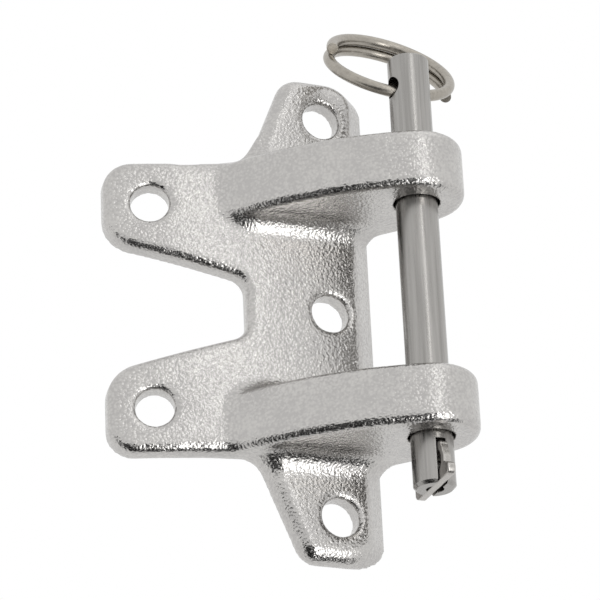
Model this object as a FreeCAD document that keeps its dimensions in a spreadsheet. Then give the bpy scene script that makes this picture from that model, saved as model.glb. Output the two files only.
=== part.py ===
import FreeCAD, Part
import math
import os
import Sketcher
from FreeCAD import Placement, Rotation, Vector

# Vang mast bracket: a cast mast plate with two ears, a clevis pin with a
# drop-nose toggle in its forked end, and a split ring through its upper end.
# Millimetres. Origin on the pin's axis, midway between the ears. The ears
# point along +X (aft), -Y is port, +Z runs up the mast.

os.makedirs("parts", exist_ok=True)
doc = FreeCAD.newDocument("vang_mast_bracket")
sheet = doc.addObject("Spreadsheet::Sheet", "Sizes")

# Driving sizes: name, value in mm or degrees, what it measures.
DRIVING = [
    ("pin_dia", 8.0, "clevis pin diameter"),
    ("pin_clearance", 0.35, "radial clearance of the pin in the ears"),
    ("pin_proud", 19.0, "pin above the upper ear"),
    ("pin_top_round", 0.4, "rounding of the pin's top edge"),
    ("pin_end_chamfer", 0.6, "chamfer of the pin's forked end"),
    ("ring_hole_dia", 4.3, "cross hole for the split ring"),
    ("ring_hole_below_top", 6.4, "cross hole axis below the pin top"),
    ("ring_hole_turn", 49.1, "direction of the cross hole about the pin"),
    ("slot_width", 2.0, "fork slot"),
    ("slot_depth", 8.7, "fork slot from the lower end"),
    ("slot_turn", -45.0, "direction of the fork slot about the pin"),
    ("end_bore_dia", 3.4, "blind bore in the lower end"),
    ("end_bore_depth", 2.6, "depth of that bore"),
    ("rivet_dia", 2.0, "toggle rivet"),
    ("rivet_length", 7.6, "length of the rivet, inside the pin's outline"),
    ("rivet_play", 0.02, "play of the rivet in the fork, on the radius"),
    ("rivet_above_end", 4.65, "rivet axis above the pin's lower end"),
    ("ear_gap", 36.0, "clear height between the ears"),
    ("ear_thick", 12.0, "thickness of one ear"),
    ("ear_end_radius", 9.2, "round end of an ear about the pin"),
    ("ear_flat_side", 9.1, "flat starboard face of an ear from the pin's axis"),
    ("ear_side_radius", 76.0, "bulge of the port side of an ear"),
    ("ear_side_turn", 69.0, "where the port side leaves the round end"),
    ("ear_root_forward", 36.5, "reach of the ears into the plate, port side"),
    ("ear_root_sunk", 0.5, "reach of the ears into the plate, starboard side"),
    ("seat_radius", 105.8, "radius of the seat on the mast"),
    ("seat_turn", 40.7, "direction from the mast's centre to the aft corner"),
    ("plate_thick", 4.2, "wall of the mast plate"),
    ("aft_forward", 15.0, "flat aft face, forward of the pin"),
    ("aft_corner_side", 4.78, "port corner of the aft face from the centre plane"),
    ("outline_turn", 37.0, "direction in which the outline is cut, about the pin"),
    ("plate_half_height", 50.3, "tab ends above and below the origin"),
    ("tab_top_width", 22.2, "tab's upper corner across the outline"),
    ("tab_foot_width", 30.3, "tab's foot across the outline"),
    ("wing_reach", 57.9, "wing tip across the outline"),
    ("wing_tip_inner", 13.6, "inner corner of the wing tip from the middle"),
    ("cut_reach", 31.4, "bottom of the side cut-out across the outline"),
    ("cut_half_height", 5.85, "half height of the cut-out's bottom"),
    ("wing_outer_round", 5.3, "outer corner of the wing tip"),
    ("wing_inner_round", 7.0, "inner corner of the wing tip"),
    ("cut_round", 3.5, "corners of the cut-out's bottom"),
    ("tab_port_round", 4.5, "port corner of a tab"),
    ("tab_aft_round", 5.0, "aft corner of a tab"),
    ("screw_hole_dia", 7.4, "fixing holes"),
    ("hole_rim_round", 0.4, "rounded rims of the fixing holes"),
    ("bore_rim_round", 0.3, "rounded rims of the pin bores"),
    ("wing_hole_inset", 8.52, "wing holes from the wing tip, across the outline"),
    ("wing_hole_height", 21.1, "wing holes above and below the middle"),
    ("tab_hole_turn", 43.7, "direction of the tab holes from the mast's centre"),
    ("tab_hole_height", 41.35, "tab holes above and below the middle"),
    ("edge_round", 1.8, "rounding of the casting's outer edges"),
    ("aft_edge_round", 2.9, "rounding between the plate's front and its aft face"),
    ("seat_edge_round", 0.2, "rounding of the edges on the seat"),
    ("web_round", 4.0, "hollow between the ears and the plate"),
    ("foot_round", 4.5, "hollow between an ear's outer face and the tab"),
    ("toggle_ear_gap", 2.1, "locked toggle below the lower ear"),
    ("toggle_thick", 1.6, "toggle plate"),
    ("toggle_above_end", 7.9, "toggle's upper edge above the pin's lower end"),
    ("toggle_end_gap", 0.2, "toggle's foot above the pin's lower end"),
    ("toggle_near", 6.8, "toggle's body on its long side"),
    ("toggle_far", 6.3, "toggle's body on its short side"),
    ("foot_height", 2.5, "height of the toggle's foot"),
    ("foot_near_step", 1.4, "foot beyond the body, long side"),
    ("foot_far_step", 1.0, "foot beyond the body, short side"),
    ("foot_end_round", 1.2, "rounded ends of the foot"),
    ("toggle_near_round", 3.0, "upper corner on the long side"),
    ("toggle_far_round", 3.2, "upper corner on the short side"),
    ("window_near", 5.2, "oblong hole on the long side"),
    ("window_far", 4.9, "oblong hole on the short side"),
    ("window_height", 4.2, "height of the oblong hole"),
    ("window_round", 2.0, "rounded ends of the oblong hole"),
    ("rivet_clearance", 0.65, "rivet below the oblong hole's upper edge"),
    ("ring_wire_dia", 2.25, "wire of the split ring"),
    ("ring_radius", 12.1, "mean radius of the split ring"),
    ("ring_pitch", 2.35, "rise of the ring's coil in one turn"),
    ("ring_overlap", 190.0, "how far the coil goes round past one turn"),
    ("ring_end_turn", 25.0, "lower wire end past the cross hole's axis"),
    ("ring_slope_turn", 50.0, "rise of the ring behind the pin"),
    ("ring_lean", 2.15, "lean of the ring towards its lower wire end"),
    ("ring_drop", 0.78, "wire below the middle of the cross hole"),
]

# Sizes worked out from the driving ones by the sheet itself.
DERIVED = [
    ("front_radius", "=seat_radius + plate_thick"),
    ("mast_forward", "=aft_forward + front_radius * cos(seat_turn)"),
    ("mast_side", "=front_radius * sin(seat_turn) + aft_corner_side"),
    ("ear_inner", "=ear_gap / 2"),
    ("ear_outer", "=ear_gap / 2 + ear_thick"),
    ("ear_root_aft", "=aft_forward + ear_root_sunk"),
    ("pin_above", "=ear_outer + pin_proud"),
    ("pin_below", "=ear_outer + toggle_ear_gap + toggle_above_end"),
    ("mast_across", "=mast_side * sin(outline_turn) - mast_forward * cos(outline_turn)"),
    ("wing_hole_turn", "=acos((wing_hole_inset - wing_reach - mast_across) / front_radius) / 1 deg - outline_turn"),
    ("ear_corner_along", "=ear_end_radius * cos(ear_side_turn)"),
    ("cut_past", "=1.5 * plate_thick"),
    ("section_reach", "=wing_reach + cut_past"),
    ("frame_reach", "=wing_reach + 3 * cut_past"),
    ("frame_aft", "=2 * cut_past"),
    ("section_height", "=plate_half_height + cut_past / 2"),
    ("frame_height", "=plate_half_height + cut_past"),
    ("frame_below", "=2 * cut_past"),
    ("ring_hole_height", "=pin_above - ring_hole_below_top"),
    ("rivet_height", "=rivet_above_end - pin_below"),
    ("ring_turns", "=1 + ring_overlap / 360"),
    ("ring_start_drop", "=ring_pitch * (270 + ring_end_turn) / 360"),
    ("bore_dia", "=pin_dia + 2 * pin_clearance"),
    ("rivet_hole_dia", "=rivet_dia + 2 * rivet_play"),
    ("slot_half", "=slot_width / 2"),
    ("slot_top_below", "=pin_below - slot_depth"),
    ("slot_open_below", "=pin_below + slot_width"),
    ("toggle_top_below", "=pin_below - toggle_above_end"),
    ("toggle_foot_below", "=pin_below - toggle_end_gap"),
    ("toggle_step_below", "=toggle_foot_below - foot_height"),
    ("foot_near", "=toggle_near + foot_near_step"),
    ("foot_far", "=toggle_far + foot_far_step"),
    ("window_top_below", "=-rivet_height - rivet_dia / 2 - rivet_clearance"),
    ("window_foot_below", "=window_top_below + window_height"),
]

for row, (name, value, meaning) in enumerate(DRIVING, start=1):
    sheet.set("A%d" % row, meaning)
    sheet.set("B%d" % row, str(value))
    sheet.setAlias("B%d" % row, name)
for row, (name, formula) in enumerate(DERIVED, start=len(DRIVING) + 1):
    sheet.set("B%d" % row, formula)
    sheet.setAlias("B%d" % row, name)
doc.recompute()


def size(name):
    """A value of the sheet."""
    return float(sheet.get(name))


def body_named(name):
    body = doc.addObject("PartDesign::Body", name)
    body.Label = name
    return body


def origin_plane(body, role):
    return [f for f in body.Origin.OriginFeatures if f.Role == role][0]


def sketch_on(body, role, name, turn=None, shift=None):
    """A sketch on an origin plane, turned about the vertical and shifted by sheet formulas."""
    sketch = body.newObject("Sketcher::SketchObject", name)
    sketch.AttachmentSupport = [(origin_plane(body, role), "")]
    sketch.MapMode = "FlatFace"
    sketch.AttachmentOffset = Placement(Vector(0, 0, 0), Rotation(Vector(0, 1, 0), 0))
    if turn:
        sketch.setExpression("AttachmentOffset.Rotation.Angle", turn)
    for axis, formula in (shift or {}).items():
        sketch.setExpression("AttachmentOffset.Base." + axis, formula)
    return sketch


def term(text):
    """Sheet formula and value of a signed size name or a plain number."""
    name = text.lstrip("-")
    if name[0].isdigit():
        return text, float(text)
    return text.replace(name, "Sizes." + name), size(name) * (-1 if text[0] == "-" else 1)


def bind(sketch, kind, places, text):
    """A dimension that follows a size."""
    formula, start = term(text)
    index = sketch.addConstraint(Sketcher.Constraint(kind, *places, start))
    if formula[-1].isalpha():
        sketch.setExpression("Constraints[%d]" % index, formula)


def point_at(sketch, geo, pos, across, up):
    """Holds a point at signed distances from the sketch's origin, each a size or 0."""
    for kind, axis, text in (("DistanceX", -2, across), ("DistanceY", -1, up)):
        if text == "0":
            sketch.addConstraint(Sketcher.Constraint("PointOnObject", geo, pos, axis))
        else:
            bind(sketch, kind, (-1, 1, geo, pos), text)


def polygon(sketch, corners):
    """A closed outline through the corners, each a pair of sizes."""
    first = sketch.GeometryCount
    points = [Vector(term(across)[1], term(up)[1], 0) for across, up in corners]
    for n, point in enumerate(points):
        sketch.addGeometry(Part.LineSegment(point, points[(n + 1) % len(points)]))
    for n, (across, up) in enumerate(corners):
        before = first + (n - 1) % len(points)
        sketch.addConstraint(Sketcher.Constraint("Coincident", before, 2, first + n, 1))
        point_at(sketch, first + n, 1, across, up)


def circle(sketch, across, up, diameter):
    centre = Vector(term(across)[1], term(up)[1], 0)
    geo = sketch.addGeometry(Part.Circle(centre, Vector(0, 0, 1), size(diameter) / 2))
    point_at(sketch, geo, 3, across, up)
    bind(sketch, "Diameter", (geo,), diameter)


def extrude(body, kind, sketch, name, length, symmetric=False, reverse=False):
    """A pad or pocket of a sketch; a pocket has to take something away."""
    before = body.Shape.Volume if kind == "Pocket" else None
    feature = body.newObject("PartDesign::" + kind, name)
    feature.Profile = sketch
    feature.SideType = "Symmetric" if symmetric else "One side"
    feature.Reversed = reverse
    feature.setExpression("Length", length)
    body.Tip = feature
    doc.recompute()
    if kind == "Pocket" and not feature.Shape.Volume < before - 0.01:
        raise RuntimeError(name + " cuts nothing")
    return feature


def middle(edge):
    return edge.valueAt((edge.FirstParameter + edge.LastParameter) / 2)


def edges_where(shape, test):
    """Names of the shape's edges that pass a test."""
    return ["Edge%d" % n for n, edge in enumerate(shape.Edges, start=1) if test(edge)]


def close(a, b):
    return abs(a - b) < 0.01


def dress(body, kind, name, test, formula):
    """A fillet or chamfer on the body's edges that pass a test."""
    base = body.Tip
    names = edges_where(base.Shape, test)
    if not names:
        raise RuntimeError(name + " finds no edge")
    feature = body.newObject("PartDesign::" + kind, name)
    feature.Base = (base, names)
    feature.setExpression("Radius" if kind == "Fillet" else "Size", formula)
    body.Tip = feature
    doc.recompute()
    if "Invalid" in feature.State or not feature.Shape.isValid():
        raise RuntimeError(name + " is not built")


# Bracket casting. It is the same above and below, so its upper half is made
# first. The mast plate is a piece of a round wall that seats on the mast, with
# a flat aft face. Its outline is cut straight through in one direction.
half = body_named("upper_half_casting")
mast_centre = Vector(-size("mast_forward"), size("mast_side"), 0)
aft_x = -size("aft_forward")
tip_x = -size("section_reach")


def on_wall(radius, x):
    """The point of the round wall with this radius and this x, on the port side."""
    return Vector(x, mast_centre.y - math.sqrt(radius ** 2 - (x - mast_centre.x) ** 2), 0)


def wall_arc(radius):
    return Part.ArcOfCircle(*[on_wall(radius, x) for x in (tip_x, (tip_x + aft_x) / 2, aft_x)])


front, back = size("front_radius"), size("seat_radius")
section = sketch_on(half, "XY_Plane", "plate_section")
section.addGeometry(wall_arc(front))
section.addGeometry(Part.LineSegment(on_wall(front, aft_x), on_wall(back, aft_x)))
section.addGeometry(wall_arc(back))
section.addGeometry(Part.LineSegment(on_wall(back, tip_x), on_wall(front, tip_x)))
for places in ((0, 2, 1, 1), (1, 2, 2, 2), (2, 1, 3, 1), (3, 2, 0, 1), (0, 3, 2, 3)):
    section.addConstraint(Sketcher.Constraint("Coincident", *places))
for line in (1, 3):
    section.addConstraint(Sketcher.Constraint("Vertical", line))
point_at(section, 0, 3, "-mast_forward", "mast_side")
bind(section, "Radius", (0,), "front_radius")
bind(section, "Radius", (2,), "seat_radius")
bind(section, "DistanceX", (-1, 1, 1, 1), "-aft_forward")
bind(section, "DistanceX", (-1, 1, 3, 1), "-section_reach")
extrude(half, "Pad", section, "plate_wall", "Sizes.section_height")

# The outline: the tab above the ears, and the wing with its side cut-out.
outline_corners = [
    ("cut_past", "plate_half_height"),
    ("-tab_top_width", "plate_half_height"),
    ("-tab_foot_width", "ear_outer"),
    ("-wing_reach", "ear_outer"),
    ("-wing_reach", "wing_tip_inner"),
    ("-cut_reach", "cut_half_height"),
    ("-cut_reach", "-cut_past"),
    ("cut_past", "-cut_past"),
]
outline = sketch_on(half, "XZ_Plane", "outline", turn="Sizes.outline_turn")
polygon(outline, outline_corners)
polygon(outline, [
    ("frame_aft", "frame_height"),
    ("-frame_reach", "frame_height"),
    ("-frame_reach", "-frame_below"),
    ("frame_aft", "-frame_below"),
])
extrude(half, "Pocket", outline, "outline_cut", "4 * Sizes.frame_reach", symmetric=True)

cut_turn = math.radians(size("outline_turn"))
across_outline = Vector(math.cos(cut_turn), math.sin(cut_turn), 0)


def at_corner(across, up):
    """Edges that a corner of the outline leaves in the wall."""
    def test(edge):
        return all(close(v.Point.dot(across_outline), term(across)[1])
                   and close(v.Z, term(up)[1]) for v in edge.Vertexes)
    return test


def upright_at(x, y):
    """Upright edges at one place of the plan."""
    def test(edge):
        return all(close(v.X, x) and close(v.Y, y) for v in edge.Vertexes)
    return test


for name, corner, radius in (
    ("wing_outer_corners", outline_corners[3], "wing_outer_round"),
    ("wing_inner_corners", outline_corners[4], "wing_inner_round"),
    ("cut_corners", outline_corners[5], "cut_round"),
    ("tab_port_corners", outline_corners[1], "tab_port_round"),
):
    dress(half, "Fillet", name, at_corner(*corner), "Sizes." + radius)
dress(half, "Fillet", "tab_aft_corners",
      lambda edge: all(close(v.X, aft_x) and close(v.Z, size("plate_half_height"))
                       for v in edge.Vertexes), "Sizes.tab_aft_round")

aft_corner = on_wall(front, aft_x)
dress(half, "Fillet", "aft_edge", upright_at(aft_corner.x, aft_corner.y), "Sizes.aft_edge_round")
plate_shape = half.Shape

# The ears: a round end about the pin, a straight starboard side and a bulged
# port side that runs out into the plate.
ears = sketch_on(half, "XY_Plane", "ear_plan", shift={"z": "Sizes.ear_inner"})
end_radius, side_radius = size("ear_end_radius"), size("ear_side_radius")
side_turn = math.radians(-size("ear_side_turn"))
leaving = Vector(math.cos(side_turn), math.sin(side_turn), 0)
side_centre = leaving * (end_radius - side_radius)
port_x, starboard_x = -size("ear_root_forward"), -size("ear_root_aft")


def on_side(x):
    """The point of the bulged side with this x."""
    return Vector(x, side_centre.y - math.sqrt(side_radius ** 2 - (x - side_centre.x) ** 2), 0)


corner = leaving * end_radius
flat_side = size("ear_flat_side")
flat_start = Vector(math.sqrt(end_radius ** 2 - flat_side ** 2), flat_side, 0)
starboard_root = Vector(starboard_x, flat_side, 0)
ears.addGeometry(Part.ArcOfCircle(corner, Vector(end_radius, 0, 0), flat_start))
ears.addGeometry(Part.LineSegment(flat_start, starboard_root))
ears.addGeometry(Part.LineSegment(starboard_root, on_side(port_x)))
ears.addGeometry(Part.ArcOfCircle(on_side(port_x), on_side((port_x + corner.x) / 2), corner))
for constraint in (
    ("Coincident", 0, 3, -1, 1),
    ("Coincident", 0, 2, 1, 1),
    ("Horizontal", 1),
    ("Coincident", 1, 2, 2, 1),
    ("Coincident", 2, 2, 3, 1),
    ("Tangent", 3, 2, 0, 1),
):
    ears.addConstraint(Sketcher.Constraint(*constraint))
bind(ears, "Radius", (0,), "ear_end_radius")
bind(ears, "Radius", (3,), "ear_side_radius")
bind(ears, "DistanceX", (-1, 1, 0, 1), "ear_corner_along")
point_at(ears, 1, 2, "-ear_root_aft", "ear_flat_side")
bind(ears, "DistanceX", (-1, 1, 3, 1), "-ear_root_forward")
ear = extrude(half, "Pad", ears, "ear", "Sizes.ear_thick")
ear_shape = ear.AddSubShape


def round_end_at(height):
    """Edge of the ear's round end at one height."""
    def test(edge):
        point = middle(edge)
        return close(point.z, height) and close(math.hypot(point.x, point.y), end_radius)
    return test


def on_solid(shape, point):
    return shape.distToShape(Part.Vertex(point))[0] < 0.001


def joins_ear(edge):
    """Edges where the ear grows out of the plate."""
    point = middle(edge)
    return on_solid(plate_shape, point) and on_solid(ear_shape, point)


ear_inner, ear_outer = size("ear_inner"), size("ear_outer")
dress(half, "Fillet", "inner_ear_edge", round_end_at(ear_inner), "Sizes.edge_round")
dress(half, "Fillet", "ear_hollow",
      lambda edge: joins_ear(edge) and close(middle(edge).x, aft_x) and close(middle(edge).z, ear_inner),
      "Sizes.web_round")
dress(half, "Fillet", "tab_foot_hollow",
      lambda edge: joins_ear(edge) and close(middle(edge).x, aft_x) and close(middle(edge).z, ear_outer),
      "Sizes.foot_round")
dress(half, "Fillet", "outer_edges", round_end_at(ear_outer), "Sizes.edge_round")
seat_corner = on_wall(back, aft_x)
dress(half, "Fillet", "seat_edges", upright_at(seat_corner.x, seat_corner.y), "Sizes.seat_edge_round")

lower_half = doc.addObject("Part::Mirroring", "lower_half_casting")
lower_half.Source = half
lower_half.Normal = Vector(0, 0, 1)
both_halves = doc.addObject("Part::Fuse", "both_halves")
both_halves.Base = half
both_halves.Tool = lower_half
both_halves.Refine = True
doc.recompute()

# The whole casting, bored for the pin and drilled for five fixings that point
# at the mast's centre.
casting = body_named("bracket_casting")
casting.BaseFeature = both_halves
doc.recompute()

pin_bore = sketch_on(casting, "XY_Plane", "pin_bore")
circle(pin_bore, "0", "0", "bore_dia")
extrude(casting, "Pocket", pin_bore, "pin_bores", "2 * Sizes.frame_height", symmetric=True)

at_mast = {"x": "-Sizes.mast_forward", "z": "-Sizes.mast_side"}
wing_holes = sketch_on(casting, "XZ_Plane", "wing_hole_axes", turn="90 - Sizes.wing_hole_turn", shift=at_mast)
tab_holes = sketch_on(casting, "XZ_Plane", "tab_hole_axes", turn="90 - Sizes.tab_hole_turn", shift=at_mast)
for up in ("wing_hole_height", "-wing_hole_height"):
    circle(wing_holes, "0", up, "screw_hole_dia")
for up in ("tab_hole_height", "0", "-tab_hole_height"):
    circle(tab_holes, "0", up, "screw_hole_dia")
for sketch, name in ((wing_holes, "wing_holes"), (tab_holes, "tab_holes")):
    extrude(casting, "Pocket", sketch, name, "2 * Sizes.front_radius + 2 * Sizes.cut_past", symmetric=True)


def bore_rim(edge):
    """Rims of the pin bores."""
    point = edge.Vertexes[0].Point
    return len(edge.Vertexes) == 1 and close(math.hypot(point.x, point.y), size("bore_dia") / 2)


def front_rim(edge):
    """Rims of the fixing holes on the plate's front."""
    point = edge.Vertexes[0].Point
    return len(edge.Vertexes) == 1 and close(math.hypot(point.x - mast_centre.x, point.y - mast_centre.y), front)


dress(casting, "Fillet", "bore_rims", bore_rim, "Sizes.bore_rim_round")
dress(casting, "Fillet", "hole_rims", front_rim, "Sizes.hole_rim_round")

# Clevis pin: a plain rod with a cross hole for the ring, and a fork at its
# lower end for the toggle.
pin = body_named("clevis_pin")
rod = sketch_on(pin, "XY_Plane", "rod_section", shift={"z": "-Sizes.pin_below"})
circle(rod, "0", "0", "pin_dia")
extrude(pin, "Pad", rod, "rod", "Sizes.pin_above + Sizes.pin_below")


def rim_at(height):
    """Round edges at one height."""
    def test(edge):
        return len(edge.Vertexes) == 1 and close(edge.Vertexes[0].Z, height) and close(middle(edge).z, height)
    return test


dress(pin, "Fillet", "top_edge", rim_at(size("pin_above")), "Sizes.pin_top_round")
dress(pin, "Chamfer", "end_edge", rim_at(-size("pin_below")), "Sizes.pin_end_chamfer")

ring_hole = sketch_on(pin, "XZ_Plane", "ring_hole_axis", turn="Sizes.ring_hole_turn + 90")
circle(ring_hole, "0", "ring_hole_height", "ring_hole_dia")
extrude(pin, "Pocket", ring_hole, "ring_hole", "2 * Sizes.pin_dia", symmetric=True)

slot = sketch_on(pin, "XZ_Plane", "slot_section", turn="Sizes.slot_turn + 90")
polygon(slot, [
    ("slot_half", "-slot_top_below"),
    ("-slot_half", "-slot_top_below"),
    ("-slot_half", "-slot_open_below"),
    ("slot_half", "-slot_open_below"),
])
extrude(pin, "Pocket", slot, "fork_slot", "2 * Sizes.pin_dia", symmetric=True)

end_bore = sketch_on(pin, "XY_Plane", "end_bore_section", shift={"z": "-Sizes.pin_below"})
circle(end_bore, "0", "0", "end_bore_dia")
extrude(pin, "Pocket", end_bore, "end_bore", "Sizes.end_bore_depth", reverse=True)

rivet_hole = sketch_on(pin, "XZ_Plane", "rivet_hole_axis", turn="Sizes.slot_turn + 180")
circle(rivet_hole, "0", "rivet_height", "rivet_hole_dia")
extrude(pin, "Pocket", rivet_hole, "rivet_hole", "2 * Sizes.pin_dia", symmetric=True)

# Toggle rivet, flush in the fork.
rivet = body_named("toggle_rivet")
rivet_section = sketch_on(rivet, "XZ_Plane", "rivet_section", turn="Sizes.slot_turn + 180")
circle(rivet_section, "0", "rivet_height", "rivet_dia")
extrude(rivet, "Pad", rivet_section, "rivet_shank", "Sizes.rivet_length", symmetric=True)

# Drop-nose toggle: a flat plate in the slot. Its oblong hole lets it tip over
# the rivet until it lies in line with the pin.
toggle = body_named("drop_nose_toggle")
toggle_corners = [
    ("toggle_near", "-toggle_top_below"),
    ("toggle_near", "-toggle_step_below"),
    ("foot_near", "-toggle_step_below"),
    ("foot_near", "-toggle_foot_below"),
    ("-foot_far", "-toggle_foot_below"),
    ("-foot_far", "-toggle_step_below"),
    ("-toggle_far", "-toggle_step_below"),
    ("-toggle_far", "-toggle_top_below"),
]
toggle_outline = sketch_on(toggle, "XZ_Plane", "toggle_outline", turn="Sizes.slot_turn")
polygon(toggle_outline, toggle_corners)
extrude(toggle, "Pad", toggle_outline, "toggle_plate", "Sizes.toggle_thick", symmetric=True)
window_corners = [
    ("window_near", "-window_top_below"),
    ("window_near", "-window_foot_below"),
    ("-window_far", "-window_foot_below"),
    ("-window_far", "-window_top_below"),
]
window = sketch_on(toggle, "XZ_Plane", "window_outline", turn="Sizes.slot_turn")
polygon(window, window_corners)
extrude(toggle, "Pocket", window, "window", "2 * Sizes.toggle_thick", symmetric=True)

slot_turn = math.radians(size("slot_turn"))
along_slot = Vector(math.cos(slot_turn), math.sin(slot_turn), 0)


def through_plate(corners):
    """Edges across the toggle's thickness at some corners of its outline."""
    places = [(term(across)[1], term(up)[1]) for across, up in corners]

    def test(edge):
        return any(all(close(v.Point.dot(along_slot), x) and close(v.Z, z) for v in edge.Vertexes)
                   for x, z in places)
    return test


for name, corners, radius in (
    ("near_corner", toggle_corners[:1], "toggle_near_round"),
    ("far_corner", toggle_corners[7:], "toggle_far_round"),
    ("foot_ends", toggle_corners[2:5], "foot_end_round"),
    ("window_ends", window_corners, "window_round"),
):
    dress(toggle, "Fillet", name, through_plate(corners), "Sizes." + radius)

# Split ring: one and a half turns of round wire, which pass once through the
# cross hole. It stands on the cross hole's axis, sloping up behind the pin.
ring = body_named("split_ring")
wire = sketch_on(ring, "XZ_Plane", "wire_section", turn="-Sizes.ring_end_turn")
circle(wire, "ring_radius", "-ring_start_drop", "ring_wire_dia")
coil = ring.newObject("PartDesign::AdditiveHelix", "coil")
coil.Profile = wire
coil.ReferenceAxis = (wire, ["V_Axis"])
coil.Mode = "pitch-turns-angle"
coil.setExpression("Pitch", "Sizes.ring_pitch")
coil.setExpression("Turns", "Sizes.ring_turns")
ring_turn, slope = math.radians(size("ring_hole_turn")), math.radians(size("ring_slope_turn"))
rise = Vector(-math.sin(ring_turn) * math.cos(slope), math.cos(ring_turn) * math.cos(slope), math.sin(slope))
ring_rest = Vector(0, 0, size("ring_hole_height") - size("ring_drop"))
ring_tilt = Rotation(size("ring_hole_turn"), -size("ring_lean"), size("ring_slope_turn"))
ring.Placement = Placement(ring_rest + rise * size("ring_radius"), ring_tilt)

doc.recompute()
nodes = [casting, pin, rivet, toggle, ring]
for thing in doc.Objects:
    if "Invalid" in thing.State or "Error" in thing.State:
        raise RuntimeError(thing.Name + " is not built: " + ", ".join(thing.State))
for node in nodes:
    if node.Shape.isNull() or not node.Shape.isValid() or len(node.Shape.Solids) != 1:
        raise RuntimeError(node.Label + " is not one valid solid")
    print(node.Label, round(node.Shape.Volume, 1), "mm3", node.Shape.BoundBox)
for node in nodes:
    node.Shape.exportStep("parts/%s.step" % node.Label)
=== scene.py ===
import math

import bmesh
import bpy
from mathutils import Matrix, Vector


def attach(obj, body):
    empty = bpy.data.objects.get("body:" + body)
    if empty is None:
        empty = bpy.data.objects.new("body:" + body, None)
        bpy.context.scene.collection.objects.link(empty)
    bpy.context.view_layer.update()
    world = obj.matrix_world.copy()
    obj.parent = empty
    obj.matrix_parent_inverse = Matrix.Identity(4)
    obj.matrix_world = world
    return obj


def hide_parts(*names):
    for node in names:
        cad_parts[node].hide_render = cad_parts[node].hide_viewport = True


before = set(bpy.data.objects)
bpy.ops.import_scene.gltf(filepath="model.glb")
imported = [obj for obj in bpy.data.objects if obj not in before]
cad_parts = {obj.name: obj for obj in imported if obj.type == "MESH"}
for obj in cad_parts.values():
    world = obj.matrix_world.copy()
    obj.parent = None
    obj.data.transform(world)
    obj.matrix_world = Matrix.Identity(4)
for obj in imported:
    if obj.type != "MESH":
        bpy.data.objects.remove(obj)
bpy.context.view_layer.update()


# Bracket casting: one investment casting in stainless steel, with its curved plate,
# its wings and tabs and its two bored ears. It was tumbled after casting, which leaves
# a satin skin with a fine grain and well rounded edges.
def linear(hex_colour):
    """A colour written as sRGB hex, as the linear numbers that shaders take."""
    parts = [int(hex_colour[n:n + 2], 16) / 255 for n in (1, 3, 5)]
    return [c / 12.92 if c <= 0.04045 else ((c + 0.055) / 1.055) ** 2.4 for c in parts] + [1.0]


def add(owner, kind, sockets, **settings):
    """Adds a shader node. A socket gets a value, or a link from another node's output."""
    made = owner.node_tree.nodes.new("ShaderNode" + kind)
    for name, value in settings.items():
        setattr(made, name, value)
    for name, value in sockets.items():
        if isinstance(value, bpy.types.NodeSocket):
            owner.node_tree.links.new(value, made.inputs[name])
        else:
            made.inputs[name].default_value = value
    return made


def metal(name):
    """A new material that is bare metal all over."""
    made = bpy.data.materials.new(name)
    made.use_nodes = True
    made.node_tree.nodes["Principled BSDF"].inputs["Metallic"].default_value = 1.0
    return made


# Nearly all the values of a noise pattern lie between these two.
NOISE_LOW, NOISE_HIGH = 0.3, 0.7


def finish(steel, tone_pattern, tones, gloss_pattern, roughness):
    """Lets one pattern vary a metal's colour between two tones, and one its roughness."""
    surface = steel.node_tree.nodes["Principled BSDF"]
    tone = add(steel, "ValToRGB", {"Fac": tone_pattern})
    for stop, (level, hex_colour) in zip(tone.color_ramp.elements, tones):
        stop.position = level
        stop.color = linear(hex_colour)
    gloss = add(steel, "MapRange", {"Value": gloss_pattern,
                                    "From Min": NOISE_LOW, "From Max": NOISE_HIGH,
                                    "To Min": roughness[0], "To Max": roughness[1]})
    steel.node_tree.links.new(tone.outputs["Color"], surface.inputs["Base Color"])
    steel.node_tree.links.new(gloss.outputs["Result"], surface.inputs["Roughness"])


def clad(item, steel):
    """Gives a piece one material, in place of those that it came with."""
    item.data.materials.clear()
    item.data.materials.append(steel)


SAME_CORNER = 0.000002


def merged(node):
    """A node's surface where it stands, with its doubled corners merged, ready for more work."""
    mesh = bmesh.new()
    mesh.from_mesh(node.data)
    mesh.transform(node.matrix_world)
    bmesh.ops.remove_doubles(mesh, verts=mesh.verts, dist=SAME_CORNER)
    return mesh


def piece(name, mesh):
    """A new visible piece, which takes over a mesh under work."""
    data = bpy.data.meshes.new(name)
    mesh.to_mesh(data)
    mesh.free()
    made = bpy.data.objects.new(name, data)
    bpy.context.scene.collection.objects.link(made)
    return made


def finished(made, name, kind, **settings):
    """Works one modifier into a piece's mesh."""
    change = made.modifiers.new(name, kind)
    for setting, value in settings.items():
        setattr(change, setting, value)
    bpy.context.view_layer.update()
    worked = made.evaluated_get(bpy.context.evaluated_depsgraph_get())
    made.data = bpy.data.meshes.new_from_object(worked)
    made.modifiers.clear()
    for face in made.data.polygons:
        face.use_smooth = True


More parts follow.
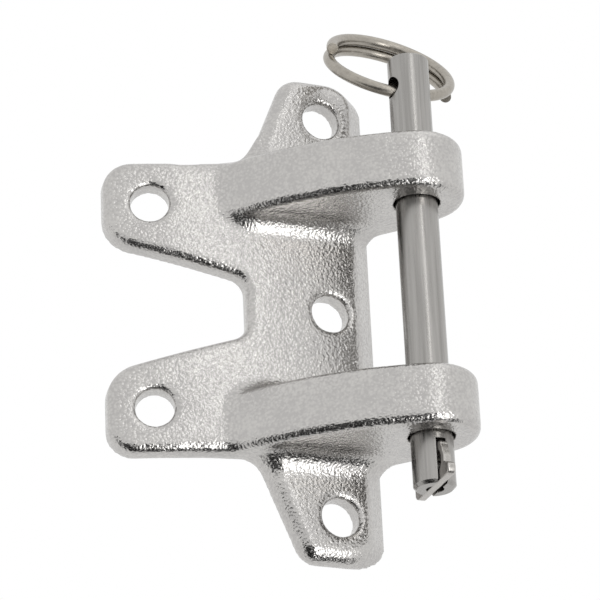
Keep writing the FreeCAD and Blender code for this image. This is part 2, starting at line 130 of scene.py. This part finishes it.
# Where the upper tab rises out of the upper wing, the casting was filled up a little:
# a low ridge along the wing's top edge, which runs up into the tab's port edge. Each
# corner of its outline is a distance aft of the tab's foot and a height, both in mm.
PLATE_TURN = math.radians(37)
AFT = Vector((math.cos(PLATE_TURN), math.sin(PLATE_TURN), 0))
INWARD = Vector((-AFT.y, AFT.x, 0))
TAB_FOOT = Vector((-0.03043, -0.00998, 0))
RIDGE = ((-12.5, 29.0), (-12.5, 29.7), (-9, 30.3), (-4.6, 30.7), (-3.1, 30.85),
         (-1.8, 31.2), (-0.7, 31.9), (0.3, 33.0), (1.2, 34.5), (2.2, 36.1), (3.4, 37.9),
         (4.4, 37.9), (4.4, 29.0))
RIDGE_INSIDE = 0.0009
RIDGE_THICK = 0.0031
mesh = merged(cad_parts["bracket_casting"])
loop = [mesh.verts.new(TAB_FOOT + AFT * along / 1000 + Vector((0, 0, high / 1000))
                       + INWARD * RIDGE_INSIDE)
        for along, high in RIDGE]
ridge = bmesh.ops.extrude_face_region(mesh, geom=[mesh.faces.new(loop)])
far_side = [item for item in ridge["geom"] if isinstance(item, bmesh.types.BMVert)]
bmesh.ops.translate(mesh, vec=INWARD * RIDGE_THICK, verts=far_side)
bmesh.ops.recalc_face_normals(mesh, faces=mesh.faces)

# The skin is the casting's own surface and the ridge, made again as one even net.
SKIN_NET = 0.00042
skin = piece("cast_skin", mesh)
finished(skin, "even_net", "REMESH", mode="VOXEL", voxel_size=SKIN_NET)

# The foot of each tab, the root of each ear and the rims of the fixing holes have wide
# soft blends. Those of tabs and ears are two points of a line and the reach around it.
# The holes are given by their turn about the mast's middle, in degrees, and their height.
TAB_BLEND = (Vector((-0.0400, -0.0160, 0.0300)), Vector((-0.0292, -0.0088, 0.0325)), 0.0036)
EAR_BLEND = (Vector((-0.0343, -0.0129, 0.0210)), Vector((-0.0343, -0.0129, 0.0300)), 0.0026)
MAST = Vector((-0.09840, 0.07651, 0))
HOLES = ((43.7, 0.04135), (43.7, 0.0), (43.7, -0.04135), (61.8, 0.0211), (61.8, -0.0211))
PLATE_FRONT = 0.1085
LIP_RADIUS = 0.0040
LIP_REACH = 0.0014
LIP_SHARE = 0.45
BLEND_ROUNDS = 60
RUB_ROUNDS = 5


def nearness(point, start, end, reach):
    """1 or more within half the reach of a line, falling to 0 at the reach; mirrored below."""
    point = Vector((point.x, point.y, abs(point.z)))
    share = (point - start).dot(end - start) / (end - start).length_squared
    nearest = start.lerp(end, min(1.0, max(0.0, share)))
    return 2 * max(0.0, 1.0 - (point - nearest).length / reach)


def lip(point):
    """Up to 1 near the front rim of a fixing hole, each of which points at the mast's middle."""
    out = point - MAST
    if math.hypot(out.x, out.y) < PLATE_FRONT:
        return 0.0
    best = 0.0
    for turned, high in HOLES:
        axis = Vector((math.cos(math.radians(turned)), -math.sin(math.radians(turned)), 0))
        off = Vector((out.x, out.y, out.z - high))
        from_axis = (off - axis * off.dot(axis)).length
        best = max(best, 1.0 - abs(from_axis - LIP_RADIUS) / LIP_REACH)
    return best


# At these blends the net is softened further. Then all of it is softened a little,
# because a tumbled casting has no sharp edge or corner left.
blends = skin.vertex_groups.new(name="blends")
for vertex in skin.data.vertices:
    weight = max(nearness(vertex.co, *TAB_BLEND), nearness(vertex.co, *EAR_BLEND),
                 LIP_SHARE * lip(vertex.co))
    if weight > 0:
        blends.add([vertex.index], min(1.0, weight), "REPLACE")
finished(skin, "wide_blends", "SMOOTH", factor=0.5, iterations=BLEND_ROUNDS,
         vertex_group="blends")
finished(skin, "rubbed_edges", "SMOOTH", factor=0.5, iterations=RUB_ROUNDS)

# Satin tumbled cast stainless: a light, slightly warm grey metal. Its pebbled skin
# breaks every reflection into fine sparkles, and slow clouds vary its gloss and its tone.
# Its colour is painted darker in the low hollows between the pebbles: painted shade.
# The grain between the pebbles is drawn coarser than the real one, so that it shows.
PEBBLE = 0.0005
PEBBLE_HIGH = 0.00009
CELL = 0.0005
GRAIN = 0.0003
GRAIN_HIGH = 0.00003
CLOUD = 0.009
cast_steel = metal("satin tumbled cast stainless")
place = add(cast_steel, "TexCoord", {}).outputs["Object"]
pebble = add(cast_steel, "TexNoise", {"Vector": place, "Scale": 1 / PEBBLE, "Detail": 2.0,
                                      "Roughness": 0.6})
cells = add(cast_steel, "TexVoronoi", {"Vector": place, "Scale": 1 / CELL, "Smoothness": 1.0},
            feature="SMOOTH_F1")
grain = add(cast_steel, "TexNoise", {"Vector": place, "Scale": 1 / GRAIN, "Detail": 2.0,
                                     "Roughness": 0.6})
cloud = add(cast_steel, "TexNoise", {"Vector": place, "Scale": 1 / CLOUD, "Detail": 4.0,
                                     "Roughness": 0.6})
skin_height = add(cast_steel, "Math", {0: pebble.outputs["Fac"], 1: cells.outputs["Distance"]},
                  operation="SUBTRACT")
# The colour's pattern is painted shade, darker where the skin is low between the pebbles, plus
# the clouds' random tone.
shade = add(cast_steel, "Math", {0: skin_height.outputs[0], 1: cloud.outputs["Fac"]},
            operation="ADD")
pebbled = add(cast_steel, "Bump", {"Height": skin_height.outputs[0], "Strength": 1.0,
                                   "Distance": PEBBLE_HIGH})
relief = add(cast_steel, "Bump", {"Height": grain.outputs["Fac"], "Strength": 1.0,
                                  "Distance": GRAIN_HIGH, "Normal": pebbled.outputs["Normal"]})
cast_steel.node_tree.links.new(relief.outputs["Normal"],
                               cast_steel.node_tree.nodes["Principled BSDF"].inputs["Normal"])
# Painted shade: the darker tone falls where the skin is low between the pebbles.
finish(cast_steel, shade.outputs[0], ((0.35, "#B4B2B0"), (0.85, "#C3C1BE")),
       cloud.outputs["Fac"], (0.16, 0.21))
clad(skin, cast_steel)
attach(skin, "bracket")
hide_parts("bracket_casting")

# Clevis pin and its rivet: smooth drawn stainless bar, a darker grey with faint streaks
# along its length. The rivet crosses the slot in the pin's lower end. The streaks are
# drawn wider than real drawing lines, so that they show.
STREAK = 0.0006
STREAK_DRAWN_OUT = 0.03
drawn_steel = metal("drawn stainless bar")
place = add(drawn_steel, "TexCoord", {}).outputs["Object"]
along = add(drawn_steel, "Mapping", {"Vector": place, "Scale": (1.0, 1.0, STREAK_DRAWN_OUT)})
streaks = add(drawn_steel, "TexNoise", {"Vector": along.outputs["Vector"], "Scale": 1 / STREAK,
                                        "Detail": 3.0}).outputs["Fac"]
finish(drawn_steel, streaks, ((NOISE_LOW, "#94928F"), (NOISE_HIGH, "#A8A6A3")),
       streaks, (0.22, 0.34))
for name in ("clevis_pin", "toggle_rivet"):
    clad(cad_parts[name], drawn_steel)

# Drop-nose toggle: stamped from stainless sheet, and carried by the rivet in the pin's
# slot. Its near end is a sloping head with a neck above the foot. Each row of the head
# is a height and how much of the bar's width past the oblong hole is left there.
TOGGLE_NET = 0.00012
NEAR = Vector((math.sqrt(0.5), -math.sqrt(0.5), 0))
HEAD_FROM = 0.0049
HEAD = ((-0.0373, 1.0), (-0.0371, 0.76), (-0.0366, 0.72), (-0.0360, 0.82), (-0.0345, 0.5),
        (-0.0330, 0.3), (-0.0321, 0.6))
NOSE_LONG = 0.0030
NOSE_FADE = 0.0012
EDGE_ROUNDS = 12
NOSE_ROUNDS = 25
toggle = piece("stamped_toggle", merged(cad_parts["drop_nose_toggle"]))
finished(toggle, "even_net", "REMESH", mode="VOXEL", voxel_size=TOGGLE_NET)
for vertex in toggle.data.vertices:
    past = vertex.co.dot(NEAR) - HEAD_FROM
    for (low, share), (high, next_share) in zip(HEAD, HEAD[1:]):
        if past > 0 and low <= vertex.co.z < high:
            kept = share + (next_share - share) * (vertex.co.z - low) / (high - low)
            vertex.co -= NEAR * past * (1 - kept)
            break
finished(toggle, "rolled_over_edges", "SMOOTH", factor=0.5, iterations=EDGE_ROUNDS)
reach = max(vertex.co.dot(NEAR) for vertex in toggle.data.vertices)
nose = toggle.vertex_groups.new(name="nose")
for vertex in toggle.data.vertices:
    weight = (vertex.co.dot(NEAR) - reach + NOSE_LONG) / NOSE_FADE
    if weight > 0:
        nose.add([vertex.index], min(1.0, weight), "REPLACE")
finished(toggle, "rounded_nose", "SMOOTH", factor=0.5, iterations=NOSE_ROUNDS,
         vertex_group="nose")

# Cold rolled stainless sheet: a little lighter and duller than the pin, with a faint
# mottle that the rolls drew out. It is drawn coarser than the real one, to show.
MOTTLE = 0.0003
MOTTLE_ROLLED_OUT = 0.08
sheet_steel = metal("cold rolled stainless sheet")
place = add(sheet_steel, "TexCoord", {}).outputs["Object"]
rolled = add(sheet_steel, "Mapping", {"Vector": place, "Scale": (1.0, 1.0, MOTTLE_ROLLED_OUT)})
mottle = add(sheet_steel, "TexNoise", {"Vector": rolled.outputs["Vector"], "Scale": 1 / MOTTLE,
                                       "Detail": 3.0}).outputs["Fac"]
finish(sheet_steel, mottle, ((NOISE_LOW, "#A8A5A1"), (NOISE_HIGH, "#BEBBB7")),
       mottle, (0.24, 0.36))
clad(toggle, sheet_steel)
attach(toggle, "toggle")
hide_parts("drop_nose_toggle")

# Split ring: hard drawn spring wire, wound one and a half turns and left bright. It is
# about as glossy as the pin and a little warmer in colour, with faint scuffs.
SCUFF = 0.0008
spring_wire = metal("bright stainless spring wire")
place = add(spring_wire, "TexCoord", {}).outputs["Object"]
scuffs = add(spring_wire, "TexNoise", {"Vector": place, "Scale": 1 / SCUFF,
                                       "Detail": 4.0}).outputs["Fac"]
finish(spring_wire, scuffs, ((NOISE_LOW, "#99948C"), (NOISE_HIGH, "#ACA79E")),
       scuffs, (0.26, 0.36))
clad(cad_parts["split_ring"], spring_wire)

# Camera: below the part, to port and a little aft, with a long lens. Its place, its
# directions and its lens were fitted to the photo from the pin, the bores and the rims.
LENS = 197.8
DISTANCE = 0.6191
VIEW_TURN = math.radians(23.1)
turn = Matrix.Rotation(VIEW_TURN, 3, "Z")
right = turn @ Vector((0.99887, 0.0198, -0.0433))
up = turn @ Vector((0.0476, -0.4158, 0.9082))
back = turn @ Vector((0.0, -0.9092, -0.4163))
target = turn @ Vector((-0.02304, 0.0, -0.00064))
basis = Matrix((right, up, back)).transposed().to_4x4()
camera = bpy.data.objects.new("camera", bpy.data.cameras.new("camera"))
camera.data.sensor_width = 36.0
camera.data.lens = LENS
camera.data.clip_start = 0.05
camera.matrix_world = Matrix.Translation(target + back * DISTANCE) @ basis
bpy.context.scene.collection.objects.link(camera)
bpy.context.scene.camera = camera
bpy.context.scene.view_settings.view_transform = "Standard"


# Studio: a white room that lights the part evenly, with a pale floor far below it. It
# shows as white to the camera and in the metal, and lights the part less than that.
def shown(owner, as_light, as_seen):
    """How bright a white surface is as light on the part, and where it is seen or mirrored."""
    path = add(owner, "LightPath", {}).outputs
    seen = add(owner, "Math", {0: path["Is Camera Ray"], 1: path["Is Glossy Ray"]},
               operation="MAXIMUM")
    seen = add(owner, "Math", {0: seen.outputs[0], 1: path["Is Transmission Ray"]},
               operation="MAXIMUM")
    level = add(owner, "MapRange", {"Value": seen.outputs[0], "To Min": as_light,
                                    "To Max": as_seen})
    return level.outputs["Result"]


world = bpy.data.worlds.new("white studio")
bpy.context.scene.world = world
world.use_nodes = True
background = world.node_tree.nodes["Background"]
background.inputs["Color"].default_value = (1, 1, 1, 1)
world.node_tree.links.new(shown(world, 0.5, 1.0), background.inputs["Strength"])

FLOOR_WIDE = 8
FLOOR_HEIGHT = -1.0
bpy.ops.mesh.primitive_plane_add(size=FLOOR_WIDE, location=(0, 0, FLOOR_HEIGHT))
floor = bpy.context.object
floor.name = "floor"
paint = bpy.data.materials.new("matt white floor")
paint.use_nodes = True
surface = paint.node_tree.nodes["Principled BSDF"]
surface.inputs["Base Color"].default_value = linear("#F4F4F4")
surface.inputs["Roughness"].default_value = 0.9
surface.inputs["Emission Color"].default_value = (1, 1, 1, 1)
paint.node_tree.links.new(shown(paint, 0.0, 0.5), surface.inputs["Emission Strength"])
floor.data.materials.append(paint)


# Lamps and cards: soft lamps to the right, above and in front give the metal its broad
# lights, and matt dark cards below it and behind the camera are mirrored as its darker
# faces and the dark lines along its edges.
def around(across, high, near):
    """A place in the room, in the camera's own directions from the part."""
    return target + basis.to_3x3() @ Vector((across, high, near))


def aimed(item, at):
    """Puts a lamp or a card in the room, facing the part."""
    bpy.context.scene.collection.objects.link(item)
    facing = (target - at).to_track_quat("-Z", "Y").to_matrix().to_4x4()
    item.matrix_world = Matrix.Translation(at) @ facing


def lamp(name, at, wide, high, glow):
    """A soft lamp; its glow is compared with the white room."""
    light = bpy.data.lights.new(name, "AREA")
    light.shape = "RECTANGLE"
    light.size = wide
    light.size_y = high
    light.energy = glow * math.pi * wide * high
    aimed(bpy.data.objects.new(name, light), at)


def card(name, at, wide, high, shade):
    """A matt card that darkens what the metal mirrors, out of the camera's sight."""
    mesh = bmesh.new()
    bmesh.ops.create_grid(mesh, x_segments=1, y_segments=1, size=0.5)
    bmesh.ops.scale(mesh, vec=(wide, high, 1), verts=mesh.verts)
    data = bpy.data.meshes.new(name)
    mesh.to_mesh(data)
    mesh.free()
    felt = bpy.data.materials.new(name)
    felt.use_nodes = True
    surface = felt.node_tree.nodes["Principled BSDF"]
    surface.inputs["Base Color"].default_value = linear(shade)
    surface.inputs["Roughness"].default_value = 1.0
    data.materials.append(felt)
    flag = bpy.data.objects.new(name, data)
    aimed(flag, at)
    flag.visible_camera = False


card("dark card below", around(-0.1, -0.34, 0.26), 0.34, 0.34, "#202020")
card("low dark card to the right", around(0.2, -0.42, 0.2), 0.26, 0.3, "#202020")
card("dark wall behind the camera", around(-0.385, -0.2, 1.1), 1.43, 0.7, "#2A2A2A")
lamp("right lamp", around(0.48, -0.27, 0.95), 0.28, 1.25, 4.2)
lamp("top lamp", around(0.2, 0.55, -0.05), 0.4, 0.4, 0.3)
lamp("front lamp", around(0.21, 0.52, 0.416), 0.08, 0.35, 2.3)
